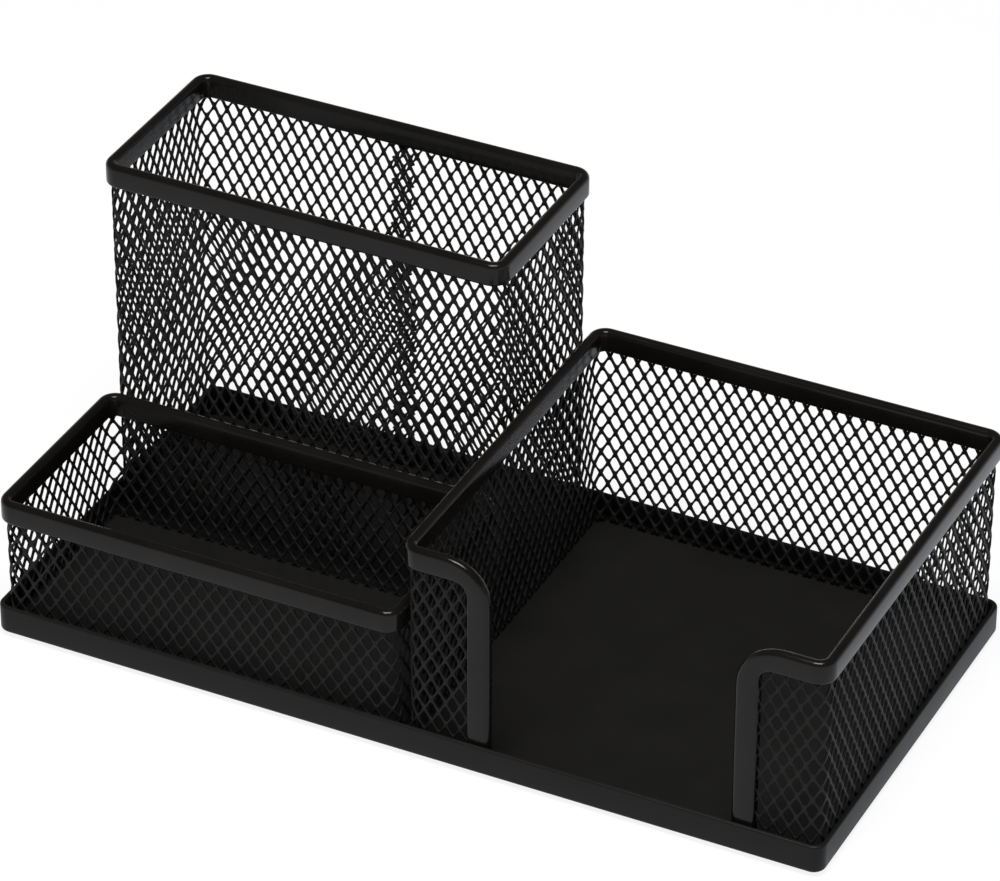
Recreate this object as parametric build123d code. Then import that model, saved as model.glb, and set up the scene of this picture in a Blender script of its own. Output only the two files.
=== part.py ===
from build123d import *
import math
import os

# A desk organiser of black steel: a pen cup, a clip tray and a memo holder of expanded metal on one pan.
# Millimetres. X runs left to right, Y front to back, Z up. The origin is under the middle of the base.

# Base pan
base_width = 205.0
base_depth = 103.0
pan_sheet = 0.6
lip_height = 7.2
lip_fold_depth = 4.5
lip_corner_radius = 3.0
pan_bend_radius = 0.9
lip_edge_bevel = 0.35

# Foot pads
pad_diameter = 10.0
pad_thickness = 1.2
pad_inset = 12.0

# Places and heights of the three boxes, over the outside of their rims, heights from the pan's underside
wall_clearance = 0.15
column_gap = 0.8
row_gap = 0.4
tray_depth = 52.0
cup_height = 95.3
tray_height = 35.1
memo_height = 54.4
wing_width = 21.9
wing_bend_radius = 13.0

# Rims, folded from sheet into a channel over the mesh's edge
rim_sheet = 0.8
rim_thickness = 2.6
rim_height = 5.6
rim_corner_radius = 4.2
rim_top_bevel = 0.8

# Expanded metal, at a coarser pitch than the real one
mesh_thickness = 0.7
mesh_edge_gap = 0.2
net_pitch_across = 11.5
net_pitch_up = 19.5
net_strand = 2.3
net_border = 1.6
seam_lap_width = 7.0

# Creases in each half of a corner bend, which is drawn as short flats so that its many cut edges are straight
bend_creases = 2

# One overrun for all cuts
overrun = 2.0

# Derived places
floor_top = pad_thickness + pan_sheet
lip_thickness = 2 * pan_sheet

# Posts stand inside the lip at the front, while at the sides the mesh does and the rims overhang the lip
end_inset = lip_thickness + wall_clearance
side_inset = end_inset - (rim_thickness - mesh_thickness) / 2
box_width = (base_width - 2 * side_inset - column_gap) / 2
memo_depth = base_depth - 2 * end_inset
cup_depth = memo_depth - tray_depth - row_gap
left_column_x = -(column_gap + box_width) / 2
right_column_x = -left_column_x
tray_y = (tray_depth - memo_depth) / 2
cup_y = (memo_depth - cup_depth) / 2
bend_radius = rim_corner_radius - rim_thickness / 2
half_turn = math.pi / 4


def rounded_prism(width, depth, radius, bottom, top):
    """An upright block with rounded corners, centred on the origin in plan."""
    return Pos(0, 0, bottom) * extrude(RectangleRounded(width, depth, radius), top - bottom)


def rounded_ring(width, depth, radius, inset, thickness, bottom, top):
    """The wall between two rounded rectangles, set in from a given outline."""
    near = inset
    far = inset + thickness
    outside = rounded_prism(width - 2 * near, depth - 2 * near, radius - near, bottom, top)
    inside = rounded_prism(
        width - 2 * far, depth - 2 * far, radius - far, bottom - overrun, top + overrun
    )
    return outside - inside


def make_base_pan():
    """The pressed pan: a flat floor and an upturned lip whose edge is folded down inside."""
    underside = pad_thickness
    lip_top = underside + lip_height
    blank = rounded_prism(base_width, base_depth, lip_corner_radius, underside, lip_top)
    blank = fillet(blank.faces().sort_by(Axis.Z)[0].edges(), pan_bend_radius)
    well = rounded_prism(
        base_width - 2 * pan_sheet,
        base_depth - 2 * pan_sheet,
        lip_corner_radius - pan_sheet,
        floor_top,
        lip_top + overrun,
    )
    fold = rounded_ring(
        base_width, base_depth, lip_corner_radius, pan_sheet, pan_sheet, lip_top - lip_fold_depth, lip_top
    )
    pan = blank - well + fold
    return chamfer(pan.faces().sort_by(Axis.Z)[-1].edges(), lip_edge_bevel)


def make_foot_pads():
    """Four round pads under the pan, one at each corner."""
    pad = Pos(0, 0, pad_thickness / 2) * Cylinder(pad_diameter / 2, pad_thickness)
    spacing_x = base_width - 2 * pad_inset
    spacing_y = base_depth - 2 * pad_inset
    return Compound([place * pad for place in GridLocations(spacing_x, spacing_y, 2, 2)])


def make_closed_rim(depth, y, height):
    """A channel rim all the way round a box, open downwards where it takes the mesh."""
    top = pad_thickness + height
    bottom = top - rim_height
    rim = rounded_ring(box_width, depth, rim_corner_radius, 0, rim_thickness, bottom, top)
    rim = chamfer(rim.faces().sort_by(Axis.Z)[-1].edges(), rim_top_bevel)
    slot = rounded_ring(
        box_width,
        depth,
        rim_corner_radius,
        rim_sheet,
        rim_thickness - 2 * rim_sheet,
        bottom - overrun,
        top - rim_sheet,
    )
    return Pos(left_column_x, y, 0) * (rim - slot)


def net_gaps(columns, rows, pitch_across, pitch_up, left_open, right_open):
    """Diamond gaps of an expanded-metal field that starts at the origin and has gaps at every other crossing.

    Gaps on the lower and upper edges are halved, and so are those on a side edge that isn't open.
    """
    half_across = pitch_across / 2
    half_up = pitch_up / 2
    shrink = 1 - net_strand / 2 * math.hypot(1 / half_across, 1 / half_up)
    reach_across = half_across * shrink
    reach_up = half_up * shrink
    gaps = []
    for column in range(columns + 1):
        for row in range(column % 2, rows + 1, 2):
            x = column * half_across
            z = row * half_up
            corners = []
            if column > 0 or left_open:
                corners.append((x - reach_across, z))
            if row > 0:
                corners.append((x, z - reach_up))
            if column < columns or right_open:
                corners.append((x + reach_across, z))
            if row < rows:
                corners.append((x, z + reach_up))
            if len(corners) > 2:
                gaps.append(Polygon(*corners, align=None))
    return gaps


def cut_net(panel, start, end, bottom, top, left_open=True, right_open=True):
    """Cuts the diamond gaps through an upright panel that faces along Y, between two places along X."""
    width = end - start
    height = top - bottom
    columns = 2 * max(1, round(width / net_pitch_across))
    rows = max(2, round(2 * height / net_pitch_up))
    gaps = net_gaps(columns, rows, 2 * width / columns, 2 * height / rows, left_open, right_open)
    plane = Plane(origin=(start, 0, bottom), x_dir=(1, 0, 0), z_dir=(0, -1, 0))
    cutters = [extrude(plane * gap, bend_radius + overrun, both=True) for gap in gaps]
    return panel - cutters


def bend_points(straight_end, sense, offset):
    """One face of half a corner bend in plan, as short flats that touch the bend's arc."""
    radius = bend_radius - offset
    flat_turn = half_turn / bend_creases
    crease_radius = radius / math.cos(flat_turn / 2)
    turns = [(crease_radius, flat_turn * (crease + 1 / 2)) for crease in range(bend_creases)]
    turns.append((radius, half_turn))
    return [
        (straight_end + sense * reach * math.sin(turn), bend_radius - reach * math.cos(turn))
        for reach, turn in turns
    ]


def panel_plan(left_end, right_end, left_bend=True, right_bend=True):
    """The plan of a wall panel along X, its middle on Y = 0, with half a corner bend towards +Y at an end."""
    faces = []
    for offset in (-mesh_thickness / 2, mesh_thickness / 2):
        left = [(left_end, offset)]
        right = [(right_end, offset)]
        if left_bend:
            left = bend_points(left_end + bend_radius, -1, offset)
        if right_bend:
            right = bend_points(right_end - bend_radius, 1, offset)
        faces.append(left[::-1] + right)
    return Polygon(*faces[0], *faces[1][::-1], align=None)


def wall_panel(length, height):
    """One wall of a box between the middles of two corner bends, standing on the pan's floor."""
    top = pad_thickness + height - rim_sheet - mesh_edge_gap
    reach = length / 2 - bend_radius + bend_radius * math.sin(half_turn)
    panel = Pos(0, 0, floor_top) * extrude(panel_plan(-length / 2, length / 2), top - floor_top)
    return cut_net(panel, -reach, reach, floor_top + net_border, top - net_border)


def box_walls(name, x, y, depth, height, sides):
    """The wall panels of a box, each between two corner bends."""
    mid_width = box_width - rim_thickness
    mid_depth = depth - rim_thickness
    turns = {"front": 0, "right": 90, "back": 180, "left": 270}
    walls = {}
    for side in sides:
        along_x = side in ("front", "back")
        length = mid_width if along_x else mid_depth
        across = mid_depth if along_x else mid_width
        panel = Rot(0, 0, turns[side]) * (Pos(0, -across / 2, 0) * wall_panel(length, height))
        walls[f"{name}_{side}_mesh"] = Pos(x, y, 0) * panel
    return walls


def make_seam_lap():
    """The lapped end of the pen cup's strip, a narrow piece of net on the inside of the back wall."""
    top = pad_thickness + cup_height - rim_height - mesh_edge_gap
    half = seam_lap_width / 2
    plan = Rectangle(seam_lap_width, mesh_thickness)
    lap = Pos(0, 0, floor_top) * extrude(plan, top - floor_top)
    lap = cut_net(lap, -half, half, floor_top + net_border, top - net_border)
    wall_middle = cup_y + cup_depth / 2 - rim_thickness / 2
    return Pos(left_column_x, wall_middle - mesh_thickness, 0) * lap


def make_wing(sense):
    """A front wing of the memo holder, from half the corner bend to the upright channel at its free edge."""
    corner = box_width / 2 - rim_thickness / 2
    free_edge = box_width / 2 - wing_width + rim_sheet + mesh_edge_gap
    top = pad_thickness + memo_height - rim_sheet - mesh_edge_gap
    radius = wing_bend_radius - rim_sheet - mesh_edge_gap
    panel = extrude(panel_plan(free_edge, corner, left_bend=False), top - floor_top)
    panel = Pos(0, 0, floor_top) * panel
    cut_depth = mesh_thickness + 2 * overrun
    corner_block = Box(radius, cut_depth, radius, align=(Align.MIN, Align.CENTER, Align.MAX))
    rounding = Rot(90, 0, 0) * Cylinder(radius, cut_depth + 2 * overrun)
    corner_cut = Pos(free_edge, 0, top) * corner_block - Pos(free_edge + radius, 0, top - radius) * rounding
    reach = corner - bend_radius + bend_radius * math.sin(half_turn)
    field_left = free_edge + net_border
    panel = cut_net(panel, field_left, reach, floor_top + net_border, top - net_border, left_open=False)
    panel = panel - corner_cut
    if sense < 0:
        panel = mirror(panel, about=Plane.YZ)
    return Pos(right_column_x, rim_thickness / 2 - memo_depth / 2, 0) * panel


def make_memo_rim():
    """One channel that climbs a wing's free edge, bends over its top and runs round to the other wing."""
    top = pad_thickness + memo_height
    half_x = box_width / 2 - rim_thickness / 2
    half_y = memo_depth / 2 - rim_thickness / 2
    edge_x = box_width / 2 - wing_width
    shoulder_x = edge_x + wing_bend_radius
    shoulder_z = top - wing_bend_radius
    corner_x = half_x - bend_radius
    corner_y = half_y - bend_radius
    sweep_share = math.sqrt(1 / 2)
    over = wing_bend_radius * sweep_share
    turn = bend_radius * sweep_share
    right_half = [
        Line((edge_x, -half_y, floor_top), (edge_x, -half_y, shoulder_z)),
        ThreePointArc(
            (edge_x, -half_y, shoulder_z),
            (shoulder_x - over, -half_y, shoulder_z + over),
            (shoulder_x, -half_y, top),
        ),
        Line((shoulder_x, -half_y, top), (corner_x, -half_y, top)),
        ThreePointArc(
            (corner_x, -half_y, top), (corner_x + turn, -corner_y - turn, top), (half_x, -corner_y, top)
        ),
        Line((half_x, -corner_y, top), (half_x, corner_y, top)),
        ThreePointArc(
            (half_x, corner_y, top), (corner_x + turn, corner_y + turn, top), (corner_x, half_y, top)
        ),
        Line((corner_x, half_y, top), (0, half_y, top)),
    ]
    section = Rectangle(rim_height, rim_thickness, align=(Align.MIN, Align.CENTER))
    section = chamfer(section.vertices().group_by(Axis.X)[0], rim_top_bevel)
    slot = Rectangle(rim_height, rim_thickness - 2 * rim_sheet, align=(Align.MIN, Align.CENTER))
    section = section - Pos(rim_sheet, 0) * slot
    section = Pos(edge_x, -half_y, floor_top) * section
    right_rim = sweep(section, path=Wire(right_half))
    rim = right_rim + mirror(right_rim, about=Plane.YZ)
    return Pos(right_column_x, 0, 0) * rim


def main():
    sides = ("front", "back", "left", "right")
    nodes = {"base_pan": make_base_pan(), "foot_pads": make_foot_pads()}
    nodes.update(box_walls("pen_cup", left_column_x, cup_y, cup_depth, cup_height, sides))
    nodes["pen_cup_seam_lap"] = make_seam_lap()
    nodes["pen_cup_rim"] = make_closed_rim(cup_depth, cup_y, cup_height)
    nodes.update(box_walls("clip_tray", left_column_x, tray_y, tray_depth, tray_height, sides))
    nodes["clip_tray_rim"] = make_closed_rim(tray_depth, tray_y, tray_height)
    nodes.update(box_walls("memo", right_column_x, 0, memo_depth, memo_height, ("back", "left", "right")))
    nodes["memo_left_wing_mesh"] = make_wing(-1)
    nodes["memo_right_wing_mesh"] = make_wing(1)
    nodes["memo_rim"] = make_memo_rim()
    os.makedirs("parts", exist_ok=True)
    for name, shape in nodes.items():
        export_step(shape, f"parts/{name}.step")


main()
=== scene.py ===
import math

import bmesh
import bpy
from mathutils import Matrix, Vector


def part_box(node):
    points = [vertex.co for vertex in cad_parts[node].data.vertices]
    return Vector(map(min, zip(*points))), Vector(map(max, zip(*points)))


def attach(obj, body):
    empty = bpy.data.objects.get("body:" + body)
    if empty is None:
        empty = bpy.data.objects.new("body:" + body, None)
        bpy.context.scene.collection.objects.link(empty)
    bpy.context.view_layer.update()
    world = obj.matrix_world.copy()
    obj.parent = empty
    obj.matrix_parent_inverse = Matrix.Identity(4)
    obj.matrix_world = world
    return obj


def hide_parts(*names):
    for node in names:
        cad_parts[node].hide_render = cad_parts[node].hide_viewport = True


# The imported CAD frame, and its box before anything is added to it
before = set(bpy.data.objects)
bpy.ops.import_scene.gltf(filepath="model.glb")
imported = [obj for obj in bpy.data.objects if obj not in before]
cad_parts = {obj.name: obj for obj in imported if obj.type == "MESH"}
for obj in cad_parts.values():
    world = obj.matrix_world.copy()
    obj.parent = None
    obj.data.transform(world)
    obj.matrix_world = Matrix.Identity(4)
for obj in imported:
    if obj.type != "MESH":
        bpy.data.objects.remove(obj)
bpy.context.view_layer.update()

MM = 0.001
UP = Vector((0.0, 0.0, 1.0))

# Rims: folded U-channels. The sheet, thickness, corners and wing width are the CAD's, and the crown,
# the skirt's roll and the wings' bends are as the photo shows them
RIM_SHEET = 0.8 * MM
RIM_THICKNESS = 2.6 * MM
RIM_CORNER = 4.2 * MM
RIM_CROWN = 1.25 * MM
SKIRT_ROLL = 0.6 * MM
WING_WIDTH = 21.9 * MM
WING_BEND = 11.0 * MM
WING_INNER_BEND = 3.2 * MM

# Pan: one pressed sheet with a folded lip
PAN_SHEET = 0.6 * MM
PAN_BEND = 0.9 * MM
PAN_CORNER = 3.0 * MM
FOLD_DEPTH = 4.5 * MM
FLOOR_FILLET = 0.5 * MM

# Expanded metal, as the photo shows it in each box: from hole to hole across and up, where the first
# column stands on the plan line, and how far the first row lies from the lowest height for a node
CUP_PITCH = (3.41 * MM, 5.98 * MM)
CUP_START = 2.4 * MM
CUP_ROW_DROP = 2.09 * MM
TRAY_PITCH = (3.80 * MM, 5.80 * MM)
TRAY_START = 1.5 * MM
TRAY_ROW_RISE = 0.23 * MM
MEMO_PITCH = (3.52 * MM, 5.90 * MM)
MEMO_START = -0.8 * MM
MEMO_ROW_RISE = 1.1 * MM

# The cup's columns lean by this share of their height
CUP_LEAN = -0.03

# Strands: their section, how far an edge stands out of the sheet, the reach of a node's arms, what is
# left beyond an arm where the strip was cut off, and the paint that fills the crotches
MESH_SHEET = 0.42 * MM
STRAND = 0.50 * MM
STRAND_TILT = -0.05 * MM
ARM_REACH = 1.2 * MM
CUT_STUB = 0.6 * MM
CROTCH_FILL_ACROSS = 0.15 * MM
CROTCH_FILL_UP = 0.35 * MM

# A node keeps a stub's length and this much more from the pan's floor and from the rim's top
MESH_FLOOR_GAP = 0.5 * MM
MESH_RIM_GAP = 1.0 * MM

# The lapped seam in the pen cup's back wall: its place and width, the share of a pitch left over and the
# climb of the rows all round, which put the holes of its two layers out of step, and the depth and the
# length of the step by which the inner layer gets there
SEAM_X = -48.74 * MM
SEAM_LAP = 5.2 * MM
SEAM_SHIFT_SHARE = 0.08
SEAM_SLIP = 4.23 * MM
SEAM_STEP = 0.42 * MM
SEAM_RAMP = 5.0 * MM

# Edges that turn by more degrees are shaded sharp. The paint rounds the strands off, so none of theirs is
FOLD_SHARP = 40
MESH_SHARP = 180

# Facets per round corner and per rounded edge
CORNER_STEPS = 10
EDGE_STEPS = 5

# Paints: darkest and lightest tone, least and greatest roughness, gloss, and the grain of their orange peel
PAN_PAINT = {
    "low": (0.0108, 0.0103, 0.0098),
    "high": (0.0124, 0.0118, 0.0112),
    "smooth": 0.34,
    "rough": 0.40,
    "gloss": 0.13,
    "peel_size": 0.5 * MM,
    "peel_depth": 0.03 * MM,
}
RIM_PAINT = {
    "low": (0.0068, 0.0058, 0.0048),
    "high": (0.0093, 0.0080, 0.0067),
    "smooth": 0.13,
    "rough": 0.19,
    "gloss": 0.21,
    "peel_size": 0.45 * MM,
    "peel_depth": 0.02 * MM,
}
MESH_PAINT = {
    "low": (0.0128, 0.0125, 0.0122),
    "high": (0.0168, 0.0164, 0.0160),
    "smooth": 0.50,
    "rough": 0.60,
    "gloss": 0.12,
    "peel_size": 0.4 * MM,
    "peel_depth": 0.03 * MM,
}
PAD_RUBBER = {
    "low": (0.020, 0.020, 0.020),
    "high": (0.032, 0.032, 0.032),
    "smooth": 0.70,
    "rough": 0.85,
    "gloss": 0.30,
    "peel_size": 0.7 * MM,
    "peel_depth": 0.06 * MM,
}
PATCH_SIZE = 14 * MM
PATCH_DETAIL = 3.0
PEEL_DETAIL = 2.0
PEEL_STRENGTH = 0.5

# Noise mostly lies in the middle of its range, so tones and roughness are spread over that part of it
TONE_RANGE = (0.35, 0.65)
ROUGHNESS_RANGE = (0.3, 0.7)

# Camera, fitted to the photo's edges: angles in radians, lens and sensor in millimetres
CAMERA_AIM = Vector((-8.24, 17.35, 40.0)) * MM
CAMERA_DISTANCE = 1262.19 * MM
CAMERA_AZIMUTH = 0.4555
CAMERA_ELEVATION = 0.5884
CAMERA_ROLL = 0.0027
CAMERA_LENS = 199.62
CAMERA_SENSOR = 36.0

# Floor: half its side, and how much it glows and scatters for the camera, in reflections and for other light
FLOOR_HALF = 4.0
FLOOR_TINT = (1.0, 1.0, 1.0)
FLOOR_GLOW = 0.88
FLOOR_SHADED = 0.16
MIRRORED_TINT = (0.92, 0.95, 1.0)
MIRRORED_GLOW = 0.48
MIRRORED_SHADED = 0.56
FLOOR_BOUNCE = 0.8

# Room: grey levels, and where between level (0) and straight up (1) the horizon ends and the ceiling begins
HORIZON_GREY = 0.6
HORIZON_END = 0.02
CEILING_GREY = 0.10
CEILING_START = 0.35

# Soft box above the front
LAMP_PLACE = Vector((0.15, -0.40, 1.25))
LAMP_AIM = Vector((0.0, 0.0, 0.04))
LAMP_SIZE = (0.66, 0.48)
LAMP_RADIANCE = 15.3


class Track:
    """A line in plan of straight runs and round square corners, walked anticlockwise seen from above."""

    def __init__(self, points, radius):
        self.runs = []
        self.length = 0.0
        last = points[0]
        for before, corner, after in zip(points, points[1:], points[2:]):
            way_in = (corner - before).normalized()
            way_out = (after - corner).normalized()
            entry = corner - way_in * radius
            self.add_run(last, way_in, (entry - last).length, 0.0)
            self.add_run(entry, way_in, radius * math.pi / 2, 1 / radius)
            last = corner + way_out * radius
        end = points[-1]
        self.add_run(last, (end - last).normalized(), (end - last).length, 0.0)

    def add_run(self, start, way, length, curvature):
        """A straight run, or with a curvature a round one, that starts in a direction."""
        self.runs.append((self.length, start.x, start.y, way.x, way.y, length, curvature))
        self.length += length

    def at(self, distance):
        """Place and outward direction (x, y, out_x, out_y) at a distance along the line."""
        run = self.runs[0]
        for other in self.runs:
            if other[0] > distance:
                break
            run = other
        begin, x, y, way_x, way_y, _, curvature = run
        gone = distance - begin
        if not curvature:
            return x + way_x * gone, y + way_y * gone, way_y, -way_x
        turn = gone * curvature
        sine = math.sin(turn)
        rise = 1 - math.cos(turn)
        reach = 1 / curvature
        place_x = x + reach * (way_x * sine - way_y * rise)
        place_y = y + reach * (way_y * sine + way_x * rise)
        heading_x = way_x * (1 - rise) - way_y * sine
        heading_y = way_y * (1 - rise) + way_x * sine
        return place_x, place_y, heading_y, -heading_x

    def stops(self):
        """Distances at which a sweep needs a station: run ends, and steps round each corner."""
        marks = [0.0]
        for begin, *_, length, curvature in self.runs:
            steps = CORNER_STEPS if curvature else 1
            marks += [begin + length * step / steps for step in range(1, steps + 1)]
        return marks


def arc(centre_x, centre_y, radius, start, end, steps):
    """Points on an arc, angles in degrees."""
    angles = [math.radians(start + (end - start) * step / steps) for step in range(steps + 1)]
    return [(centre_x + radius * math.cos(a), centre_y + radius * math.sin(a)) for a in angles]


def make_object(name, verts, faces, sharp_degrees):
    """A mesh object, smooth but for edges sharper than the angle."""
    mesh = bpy.data.meshes.new(name)
    mesh.from_pydata(verts, [], faces)
    work = bmesh.new()
    work.from_mesh(mesh)
    bmesh.ops.recalc_face_normals(work, faces=work.faces)
    work.to_mesh(mesh)
    work.free()
    mesh.shade_smooth()
    mesh.set_sharp_from_angle(angle=math.radians(sharp_degrees))
    piece = bpy.data.objects.new(name, mesh)
    bpy.context.scene.collection.objects.link(piece)
    return piece


def sweep(name, stations, profile, closed):
    """Skins a closed profile of (across, along) pairs carried through stations of (place, across, along)."""
    verts = [place + across * a + along * b for place, across, along in stations for a, b in profile]
    count = len(profile)
    rings = len(stations)
    faces = []
    for ring in range(rings if closed else rings - 1):
        here = ring * count
        there = (ring + 1) % rings * count
        for k in range(count):
            m = (k + 1) % count
            faces.append((here + k, there + k, there + m, here + m))
    if not closed:
        faces.append(tuple(range(count)))
        faces.append(tuple(range((rings - 1) * count, rings * count)))
    return make_object(name, verts, faces, sharp_degrees=FOLD_SHARP)


def channel_profile(height):
    """The rim's folded U: rounded crown at 0, legs down to its height, open below for the mesh."""
    half = RIM_THICKNESS / 2
    slot = half - RIM_SHEET
    crown = half - RIM_CROWN
    roll = half - SKIRT_ROLL
    roll_start = height - SKIRT_ROLL
    outer = arc(crown, RIM_CROWN, RIM_CROWN, 0, -90, EDGE_STEPS)
    inner = arc(-crown, RIM_CROWN, RIM_CROWN, -90, -180, EDGE_STEPS)
    inner_roll = arc(-roll, roll_start, SKIRT_ROLL, 180, 90, EDGE_STEPS)
    groove = [(-slot, height), (-slot, RIM_SHEET), (slot, RIM_SHEET), (slot, height)]
    outer_roll = arc(roll, roll_start, SKIRT_ROLL, 90, 0, EDGE_STEPS)
    return outer + inner + inner_roll + groove + outer_roll


def plan_loop(lo, hi, inset, start_x):
    """A box's outline in plan, anticlockwise from a point on its back wall and back to it."""
    left = lo.x + inset
    right = hi.x - inset
    front = lo.y + inset
    back = hi.y - inset
    corners = [(start_x, back), (left, back), (left, front), (right, front), (right, back), (start_x, back)]
    return [Vector(corner) for corner in corners]


def rim_track(lo, hi, start_x):
    """The middle line of a closed rim, and of the net in it, from a point on the back wall."""
    half = RIM_THICKNESS / 2
    return Track(plan_loop(lo, hi, half, start_x), RIM_CORNER - half)


def closed_rim(name, node):
    """A U-channel right round a box."""
    lo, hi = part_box(node)
    track = rim_track(lo, hi, (lo.x + hi.x) / 2)
    stations = []
    for distance in track.stops()[:-1]:
        x, y, out_x, out_y = track.at(distance)
        stations.append((Vector((x, y, hi.z)), Vector((out_x, out_y, 0.0)), -UP))
    return sweep(name, stations, channel_profile(hi.z - lo.z), closed=True)


def memo_track():
    """The memo holder's plan line, from the right wing's free edge round the back to the left wing's."""
    lo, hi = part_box("memo_rim")
    half = RIM_THICKNESS / 2
    left = lo.x + half
    right = hi.x - half
    front = lo.y + half
    back = hi.y - half
    start = hi.x - WING_WIDTH
    end = lo.x + WING_WIDTH
    corners = [(start, front), (right, front), (right, back), (left, back), (left, front), (end, front)]
    return Track([Vector(corner) for corner in corners], RIM_CORNER - half)


def bend_share(turn, height):
    """The channel's depth at that turn of a wing's bend, as a share of its height elsewhere.

    Its inner edge is bent more tightly than one that would keep the depth all the way.
    """
    longer = max(math.cos(turn), math.sin(turn))
    shorter = min(math.cos(turn), math.sin(turn))
    inside = WING_BEND - height
    shift = inside - WING_INNER_BEND
    if shorter * inside <= longer * shift:
        return (WING_BEND - inside / longer) / height
    along = shift * (longer + shorter)
    reach = along + math.sqrt(along * along - 2 * shift * shift + WING_INNER_BEND ** 2)
    return (WING_BEND - reach) / height


def memo_rim_stations(track, bottom, top, height):
    """Up one wing's free edge, over on to its top, round the box, and down the other wing's free edge."""
    rise = []
    for step in range(CORNER_STEPS + 1):
        turn = math.pi / 2 * step / CORNER_STEPS
        across = math.cos(turn)
        up = math.sin(turn)
        share = bend_share(turn, height)
        rise.append((WING_BEND * (1 - across), top - WING_BEND * (1 - up), across * share, up * share))
    walk = [(0.0, bottom, 1.0, 0.0)] + rise
    walk += [(d, top, 0.0, 1.0) for d in track.stops() if WING_BEND < d < track.length - WING_BEND]
    walk += [(track.length - d, z, -ahead, down) for d, z, ahead, down in reversed(rise)]
    walk += [(track.length, bottom, -1.0, 0.0)]
    stations = []
    for distance, z, ahead, down in walk:
        x, y, out_x, out_y = track.at(distance)
        heading = Vector((-out_y, out_x, 0.0))
        stations.append((Vector((x, y, z)), Vector((out_x, out_y, 0.0)), heading * ahead - UP * down))
    return stations


def memo_rim(name):
    """One U-channel over the memo holder's whole edge, with a post at each wing."""
    lo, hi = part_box("memo_rim")
    cup_lo, cup_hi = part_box("pen_cup_rim")
    height = cup_hi.z - cup_lo.z
    stations = memo_rim_stations(memo_track(), lo.z, hi.z, height)
    return sweep(name, stations, channel_profile(height), closed=False)


def pan_shell(name):
    """The pressed pan: flat floor, rounded bottom bend, and a lip folded over inwards."""
    lo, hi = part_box("base_pan")
    hem = PAN_SHEET
    profile = arc(-PAN_BEND, lo.z + PAN_BEND, PAN_BEND, -90, 0, EDGE_STEPS)
    profile += arc(-hem, hi.z - hem, hem, 0, 180, 2 * EDGE_STEPS)
    fold_end = hi.z - FOLD_DEPTH
    profile += [(-2 * hem, fold_end), (-hem, fold_end)]
    floor_top = lo.z + PAN_SHEET
    profile += arc(-hem - FLOOR_FILLET, floor_top + FLOOR_FILLET, FLOOR_FILLET, 0, -90, EDGE_STEPS)
    track = Track(plan_loop(lo, hi, 0.0, 0.0), PAN_CORNER)
    stops = track.stops()[:-1]
    verts = []
    for distance in stops:
        x, y, out_x, out_y = track.at(distance)
        verts += [(x + out_x * out, y + out_y * out, z) for out, z in profile]
    count = len(profile)
    rings = len(stops)
    faces = []
    for ring in range(rings):
        here = ring * count
        there = (ring + 1) % rings * count
        for k in range(count - 1):
            faces.append((here + k, there + k, there + k + 1, here + k + 1))
    faces.append(tuple(ring * count for ring in range(rings)))
    faces.append(tuple(ring * count + count - 1 for ring in range(rings)))
    return make_object(name, verts, faces, sharp_degrees=FOLD_SHARP)


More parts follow.
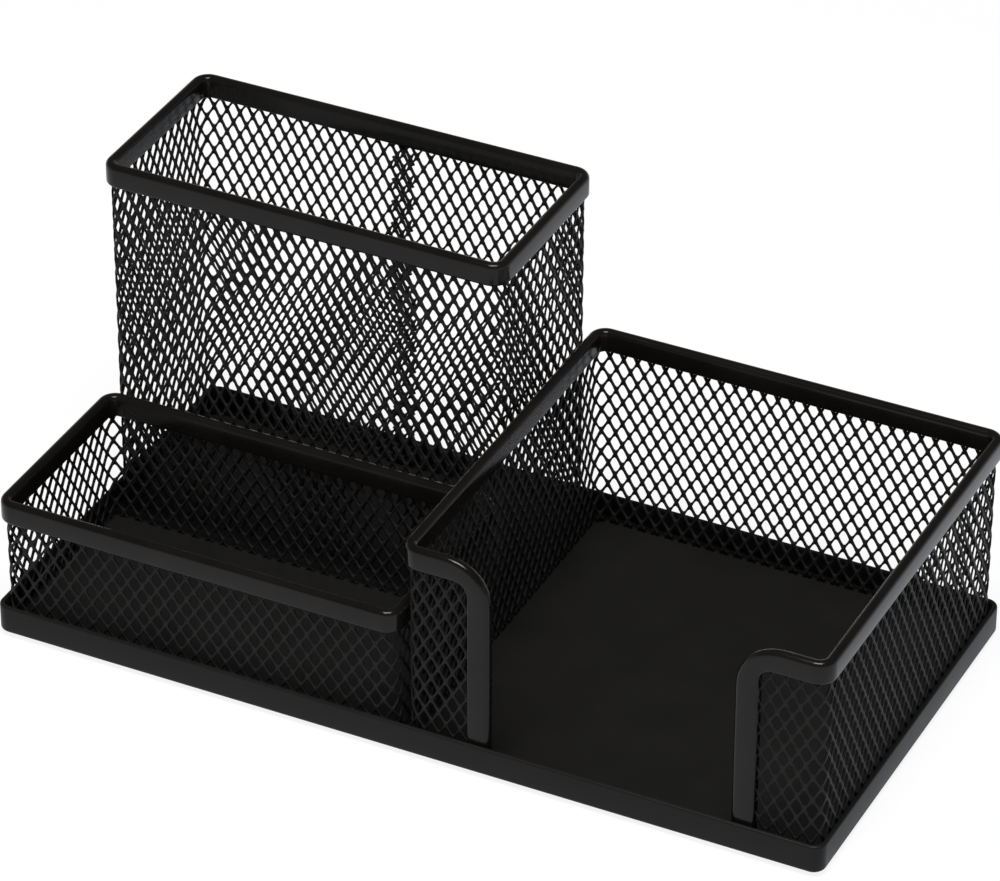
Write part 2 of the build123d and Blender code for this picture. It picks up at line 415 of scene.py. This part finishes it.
class ExpandedMetal:
    """A strip of diamond mesh on a plan line: nodes in a staggered grid, each joined to four by strands.

    The inset is a function of the distance along the line. The slip is how far rows climb over the whole
    line, and the lean is how far columns move along it for their height.
    """

    # Outline points at the end of each arm, by the step to the node that the arm points at
    ARMS = {(1, 1): (1, 2), (-1, 1): (4, 5), (-1, -1): (7, 8), (1, -1): (10, 11)}

    def __init__(self, track, across, rise, start, lowest, inset, slip, lean):
        self.track = track
        self.start = start
        self.half_across = across / 2
        self.half_rise = rise / 2
        self.lowest = lowest
        self.inset = inset
        self.slip = slip
        self.lean = lean
        self.verts = []
        self.faces = []
        self.nodes = {}
        self.outline = self.node_outline()

    def node_outline(self):
        """Twelve (across, up, tilt) points round a node, anticlockwise from the tip on its right."""
        slope = Vector((self.half_across, self.half_rise)).normalized()
        side = Vector((-slope.y, slope.x)) * STRAND / 2
        low = slope * ARM_REACH - side
        high = slope * ARM_REACH + side
        tip_x = STRAND / 2 / slope.y + CROTCH_FILL_ACROSS
        tip_y = STRAND / 2 / slope.x + CROTCH_FILL_UP
        out = STRAND_TILT
        right = [(tip_x, 0.0, 0.0), (low.x, low.y, out), (high.x, high.y, -out)]
        left = [(-high.x, high.y, -out), (-low.x, low.y, out), (-tip_x, 0.0, 0.0)]
        below = [(-low.x, -low.y, -out), (-high.x, -high.y, out), (0.0, -tip_y, out)]
        last = [(high.x, -high.y, out), (low.x, -low.y, -out)]
        return right + [(0.0, tip_y, -out)] + left + below + last

    def spot(self, u, v, w):
        """A point u along the plan line, at height v, and w out of the sheet."""
        x, y, out_x, out_y = self.track.at(u)
        lift = w - self.inset(u)
        return x + out_x * lift, y + out_y * lift, v

    def centre(self, node):
        """A node's distance along the plan line and its height."""
        v = self.lowest + node[1] * self.half_rise
        u = self.start + node[0] * self.half_across + self.lean * v
        return u, v + self.slip * u / self.track.length

    def add_vertex(self, place):
        """Keeps a vertex and gives its number."""
        self.verts.append(place)
        return len(self.verts) - 1

    def add_pair(self, u, v, tilt):
        """A point on the sheet's outer face and the one behind it."""
        front = self.add_vertex(self.spot(u, v, tilt + MESH_SHEET / 2))
        back = self.add_vertex(self.spot(u, v, tilt - MESH_SHEET / 2))
        return front, back

    def wall(self, first, second):
        """The sheet's cut edge between two pairs of points."""
        self.faces.append((first[0], first[1], second[1], second[0]))

    def add_node(self, node):
        """A node with its four arms, open at their ends."""
        u, v = self.centre(node)
        hub = self.add_pair(u, v, 0.0)
        ring = [self.add_pair(u + du, v + dv, tilt) for du, dv, tilt in self.outline]
        arm_starts = [arm[0] for arm in self.ARMS.values()]
        for k in range(len(ring)):
            here = ring[k]
            there = ring[(k + 1) % len(ring)]
            self.faces.append((hub[0], here[0], there[0]))
            self.faces.append((hub[1], there[1], here[1]))
            if k not in arm_starts:
                self.wall(here, there)
        self.nodes[node] = ring

    def prism(self, right_near, right_far, left_far, left_near):
        """A stretch of strand between four pairs of points, anticlockwise."""
        self.faces.append((right_near[0], right_far[0], left_far[0], left_near[0]))
        self.faces.append((left_near[1], left_far[1], right_far[1], right_near[1]))
        self.wall(right_near, right_far)
        self.wall(left_far, left_near)

    def add_strand(self, node, step, other):
        """The strand between the arms of two nodes."""
        near = [self.nodes[node][k] for k in self.ARMS[step]]
        far = [self.nodes[other][k] for k in self.ARMS[(-step[0], -step[1])]]
        self.prism(near[0], far[1], far[0], near[1])

    def add_stub(self, node, step, length):
        """The rest of a strand where the strip was cut off."""
        u, v = self.centre(node)
        slope = Vector((step[0] * self.half_across, step[1] * self.half_rise)).normalized() * length
        near = [self.nodes[node][k] for k in self.ARMS[step]]
        ends = []
        for k in self.ARMS[step]:
            du, dv, tilt = self.outline[k]
            ends.append(self.add_pair(u + du + slope.x, v + dv + slope.y, tilt))
        self.prism(near[0], ends[0], ends[1], near[1])
        self.wall(ends[0], ends[1])

    def build(self, name, columns, rows, closed, keeps):
        """Fills a grid of half-steps with nodes where keeps(u, v) says, and joins or trims their arms."""
        for i in columns:
            for j in rows:
                if (i + j) % 2 == 0 and keeps(*self.centre((i, j))):
                    self.add_node((i, j))
        for node in list(self.nodes):
            for step in self.ARMS:
                column = node[0] + step[0]
                if closed:
                    column = column % len(columns)
                other = (column, node[1] + step[1])
                if other not in self.nodes:
                    self.add_stub(node, step, CUT_STUB)
                elif step[1] > 0:
                    self.add_strand(node, step, other)
        return make_object(name, self.verts, self.faces, sharp_degrees=MESH_SHARP)


def row_count(bottom, top, rise):
    """Half-steps of mesh between two heights."""
    return int((top - bottom) / (rise / 2)) + 1


def mesh_heights(rim_node):
    """Least and greatest height for a node: just above the pan's floor, and inside the rim's channel."""
    pan_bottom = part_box("base_pan")[0].z
    rim_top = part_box(rim_node)[1].z
    return pan_bottom + PAN_SHEET + MESH_FLOOR_GAP + CUT_STUB, rim_top - MESH_RIM_GAP - CUT_STUB


def no_inset(u):
    """For a net that keeps to the middle of its rim all along."""
    return 0.0


def tray_mesh(name):
    """The clip tray's strip, closed with a butt seam that doesn't show."""
    lo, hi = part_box("clip_tray_rim")
    track = rim_track(lo, hi, (lo.x + hi.x) / 2)
    bottom, top = mesh_heights("clip_tray_rim")
    across, rise = TRAY_PITCH
    count = round(track.length / across)
    lowest = bottom + TRAY_ROW_RISE
    metal = ExpandedMetal(track, track.length / count, rise, TRAY_START, lowest, no_inset, 0.0, 0.0)
    return metal.build(name, range(2 * count), range(row_count(lowest, top, rise)), True, lambda u, v: True)


def cup_mesh(name):
    """The pen cup's strip, its ends lapped in the back wall with the holes out of step."""
    lo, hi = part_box("pen_cup_rim")
    track = rim_track(lo, hi, SEAM_X)
    bottom, top = mesh_heights("pen_cup_rim")
    across, rise = CUP_PITCH
    pitch = track.length / (int(track.length / across) + SEAM_SHIFT_SHARE)
    lap_start = track.length - SEAM_LAP / 2

    def lap_inset(u):
        """The strip steps in towards its far end, which lies inside the other one."""
        return SEAM_STEP * min(max((u - lap_start + SEAM_RAMP) / SEAM_RAMP, 0.0), 1.0)

    def in_strip(u, v):
        """Whether a node is in the strip, with its arms off the floor and inside the rim."""
        in_length = -SEAM_LAP / 2 <= u <= track.length + SEAM_LAP / 2
        return in_length and bottom + CUT_STUB <= v <= top - ARM_REACH

    # The lean and the climb bring nodes into the strip from beyond its ends and edges
    spare = int((SEAM_LAP + abs(CUP_LEAN) * hi.z) / pitch * 2) + 1
    columns = range(-spare, int(track.length / pitch * 2) + spare + 1)
    lowest = bottom - CUP_ROW_DROP
    climb = row_count(0.0, abs(SEAM_SLIP), rise)
    rows = range(-climb, row_count(lowest, top, rise) + climb)
    metal = ExpandedMetal(track, pitch, rise, CUP_START, lowest, lap_inset, SEAM_SLIP, CUP_LEAN)
    return metal.build(name, columns, rows, False, in_strip)


def memo_mesh(name):
    """The memo holder's strip, with a rounded top corner at each wing's free edge."""
    rim_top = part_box("memo_rim")[1].z
    track = memo_track()
    bottom, top = mesh_heights("memo_rim")
    across, rise = MEMO_PITCH
    edge = MESH_RIM_GAP + CUT_STUB

    def in_panel(u, v):
        """Whether a node keeps clear of the free edges and of the round corners above them."""
        from_edge = min(u, track.length - u)
        beside = WING_BEND - from_edge
        above = v - rim_top + WING_BEND
        if beside > 0 and above > 0:
            return math.hypot(beside, above) < WING_BEND - edge
        return from_edge > edge

    columns = range(int(track.length / across * 2) + 2)
    lowest = bottom + MEMO_ROW_RISE
    metal = ExpandedMetal(track, across, rise, MEMO_START, lowest, no_inset, 0.0, 0.0)
    return metal.build(name, columns, range(row_count(lowest, top, rise)), False, in_panel)


def new_material(name):
    """An empty node material with its output node."""
    material = bpy.data.materials.new(name)
    material.use_nodes = True
    tree = material.node_tree
    tree.nodes.clear()
    return material, tree, tree.nodes.new("ShaderNodeOutputMaterial")


def noise(tree, size, detail):
    """Noise in the object's own frame, with blotches of about that size."""
    coords = tree.nodes.new("ShaderNodeTexCoord")
    texture = tree.nodes.new("ShaderNodeTexNoise")
    texture.inputs["Scale"].default_value = 1 / size
    texture.inputs["Detail"].default_value = detail
    tree.links.new(coords.outputs["Object"], texture.inputs["Vector"])
    return texture.outputs["Fac"]


def ramp(tree, factor, low, high):
    """Two tones blended by a noise factor."""
    node = tree.nodes.new("ShaderNodeValToRGB")
    first, second = node.color_ramp.elements
    first.position, second.position = TONE_RANGE
    first.color = (*low, 1.0)
    second.color = (*high, 1.0)
    tree.links.new(factor, node.inputs["Fac"])
    return node.outputs["Color"]


def spread(tree, factor, low, high):
    """A noise factor mapped on to a range of values."""
    node = tree.nodes.new("ShaderNodeMapRange")
    node.inputs["From Min"].default_value = ROUGHNESS_RANGE[0]
    node.inputs["From Max"].default_value = ROUGHNESS_RANGE[1]
    node.inputs["To Min"].default_value = low
    node.inputs["To Max"].default_value = high
    tree.links.new(factor, node.inputs["Value"])
    return node.outputs["Result"]


def coat(name, low, high, smooth, rough, gloss, peel_size, peel_depth):
    """Black paint on steel: faint patches of tone and gloss over a fine orange peel."""
    material, tree, output = new_material(name)
    shader = tree.nodes.new("ShaderNodeBsdfPrincipled")
    shader.inputs["Specular IOR Level"].default_value = gloss
    patches = noise(tree, PATCH_SIZE, PATCH_DETAIL)
    peel = noise(tree, peel_size, PEEL_DETAIL)
    tree.links.new(ramp(tree, patches, low, high), shader.inputs["Base Color"])
    tree.links.new(spread(tree, patches, smooth, rough), shader.inputs["Roughness"])
    bump = tree.nodes.new("ShaderNodeBump")
    bump.inputs["Distance"].default_value = peel_depth
    bump.inputs["Strength"].default_value = PEEL_STRENGTH
    tree.links.new(peel, bump.inputs["Height"])
    tree.links.new(bump.outputs["Normal"], shader.inputs["Normal"])
    tree.links.new(shader.outputs["BSDF"], output.inputs["Surface"])
    return material


def paper(tree, tint, glowing, shaded):
    """Pale paper that glows a little, so that its shadows are pale."""
    glow = tree.nodes.new("ShaderNodeEmission")
    glow.inputs["Color"].default_value = (*tint, 1.0)
    glow.inputs["Strength"].default_value = glowing
    diffuse = tree.nodes.new("ShaderNodeBsdfDiffuse")
    diffuse.inputs["Color"].default_value = (*[part * shaded for part in tint], 1.0)
    both = tree.nodes.new("ShaderNodeAddShader")
    tree.links.new(glow.outputs["Emission"], both.inputs[0])
    tree.links.new(diffuse.outputs["BSDF"], both.inputs[1])
    return both.outputs["Shader"]


def choose(tree, factor, plain, chosen):
    """One shader where the factor is 0 and the other where it is 1."""
    choice = tree.nodes.new("ShaderNodeMixShader")
    tree.links.new(factor, choice.inputs["Fac"])
    tree.links.new(plain, choice.inputs[1])
    tree.links.new(chosen, choice.inputs[2])
    return choice.outputs["Shader"]


def floor_material():
    """White paper: almost self-lit to the camera, more shaded in reflections, and plain for other light."""
    material, tree, output = new_material("floor_white")
    path = tree.nodes.new("ShaderNodeLightPath")
    mirrored = tree.nodes.new("ShaderNodeMath")
    mirrored.operation = "MAXIMUM"
    tree.links.new(path.outputs["Is Glossy Ray"], mirrored.inputs[0])
    tree.links.new(path.outputs["Is Transmission Ray"], mirrored.inputs[1])
    bounce = paper(tree, FLOOR_TINT, 0.0, FLOOR_BOUNCE)
    reflected = paper(tree, MIRRORED_TINT, MIRRORED_GLOW, MIRRORED_SHADED)
    shown = paper(tree, FLOOR_TINT, FLOOR_GLOW, FLOOR_SHADED)
    unseen = choose(tree, mirrored.outputs["Value"], bounce, reflected)
    tree.links.new(choose(tree, path.outputs["Is Camera Ray"], unseen, shown), output.inputs["Surface"])
    return material


def add_floor():
    """A wide white floor under the object."""
    half = FLOOR_HALF
    corners = [(-half, -half, 0.0), (half, -half, 0.0), (half, half, 0.0), (-half, half, 0.0)]
    floor = make_object("floor", corners, [(0, 1, 2, 3)], sharp_degrees=FOLD_SHARP)
    floor.data.materials.append(floor_material())


def add_world():
    """White for the camera; for all other light a pale horizon under a dark ceiling."""
    world = bpy.data.worlds.new("studio")
    bpy.context.scene.world = world
    world.use_nodes = True
    tree = world.node_tree
    tree.nodes.clear()
    output = tree.nodes.new("ShaderNodeOutputWorld")
    coords = tree.nodes.new("ShaderNodeTexCoord")
    parts = tree.nodes.new("ShaderNodeSeparateXYZ")
    tree.links.new(coords.outputs["Generated"], parts.inputs["Vector"])
    sky = tree.nodes.new("ShaderNodeValToRGB")
    horizon, ceiling = sky.color_ramp.elements
    horizon.position = HORIZON_END
    horizon.color = (HORIZON_GREY, HORIZON_GREY, HORIZON_GREY, 1.0)
    ceiling.position = CEILING_START
    ceiling.color = (CEILING_GREY, CEILING_GREY, CEILING_GREY, 1.0)
    tree.links.new(parts.outputs["Z"], sky.inputs["Fac"])
    room = tree.nodes.new("ShaderNodeBackground")
    tree.links.new(sky.outputs["Color"], room.inputs["Color"])
    white = tree.nodes.new("ShaderNodeBackground")
    white.inputs["Color"].default_value = (1.0, 1.0, 1.0, 1.0)
    path = tree.nodes.new("ShaderNodeLightPath")
    by_camera = path.outputs["Is Camera Ray"]
    seen = choose(tree, by_camera, room.outputs["Background"], white.outputs["Background"])
    tree.links.new(seen, output.inputs["Surface"])


def add_lamp():
    """A soft box aimed at the object, with a power that gives its face its radiance."""
    width, depth = LAMP_SIZE
    light = bpy.data.lights.new("top_box", "AREA")
    light.shape = "RECTANGLE"
    light.size = width
    light.size_y = depth
    light.energy = LAMP_RADIANCE * math.pi * width * depth
    lamp = bpy.data.objects.new("top_box", light)
    lamp.location = LAMP_PLACE
    lamp.rotation_euler = (LAMP_AIM - LAMP_PLACE).to_track_quat("-Z", "Y").to_euler()
    bpy.context.scene.collection.objects.link(lamp)


def add_camera():
    """The photo's view: long lens, from the right front, looking down."""
    level = math.cos(CAMERA_ELEVATION)
    ahead = Vector((
        -math.sin(CAMERA_AZIMUTH) * level,
        math.cos(CAMERA_AZIMUTH) * level,
        -math.sin(CAMERA_ELEVATION),
    ))
    right = ahead.cross(UP).normalized()
    above = right.cross(ahead)
    tilted_right = right * math.cos(CAMERA_ROLL) + above * math.sin(CAMERA_ROLL)
    tilted_above = above * math.cos(CAMERA_ROLL) - right * math.sin(CAMERA_ROLL)
    turn = Matrix((tilted_right, tilted_above, -ahead)).transposed().to_4x4()
    lens = bpy.data.cameras.new("photo_camera")
    lens.sensor_fit = "HORIZONTAL"
    lens.sensor_width = CAMERA_SENSOR
    lens.lens = CAMERA_LENS
    camera = bpy.data.objects.new("photo_camera", lens)
    camera.matrix_world = Matrix.Translation(CAMERA_AIM - ahead * CAMERA_DISTANCE) @ turn
    bpy.context.scene.collection.objects.link(camera)
    bpy.context.scene.camera = camera


def dress(piece, material, slot, *nodes):
    """Gives a piece its finish and lets it stand for CAD nodes."""
    piece.data.materials.append(material)
    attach(piece, "root")
    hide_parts(*nodes)


def walls_of(box_name, *sides):
    """Names of the CAD nodes that are the net's walls."""
    return [f"{box_name}_{side}_mesh" for side in sides]


def build_object():
    """Every visible piece, in place of its CAD nodes. The foot pads stay the CAD's own."""
    pan_coat = coat("pan_black", **PAN_PAINT)
    rim_coat = coat("rim_black", **RIM_PAINT)
    mesh_coat = coat("mesh_black", **MESH_PAINT)
    rubber = coat("pad_rubber", **PAD_RUBBER)

    dress(pan_shell("pan_shell"), pan_coat, "pan_coat", "base_pan")

    cup_nodes = walls_of("pen_cup", "front", "back", "left", "right") + ["pen_cup_seam_lap"]
    dress(cup_mesh("cup_net"), mesh_coat, "mesh_coat", *cup_nodes)
    dress(closed_rim("cup_channel", "pen_cup_rim"), rim_coat, "rim_coat", "pen_cup_rim")

    tray_nodes = walls_of("clip_tray", "front", "back", "left", "right")
    dress(tray_mesh("tray_net"), mesh_coat, "mesh_coat", *tray_nodes)
    dress(closed_rim("tray_channel", "clip_tray_rim"), rim_coat, "rim_coat", "clip_tray_rim")

    memo_nodes = walls_of("memo", "back", "left", "right", "left_wing", "right_wing")
    dress(memo_mesh("memo_net"), mesh_coat, "mesh_coat", *memo_nodes)
    dress(memo_rim("memo_channel"), rim_coat, "rim_coat", "memo_rim")

    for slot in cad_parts["foot_pads"].material_slots:
        slot.material = rubber


build_object()
add_floor()
add_world()
add_lamp()
add_camera()
bpy.context.scene.view_settings.view_transform = "Standard"
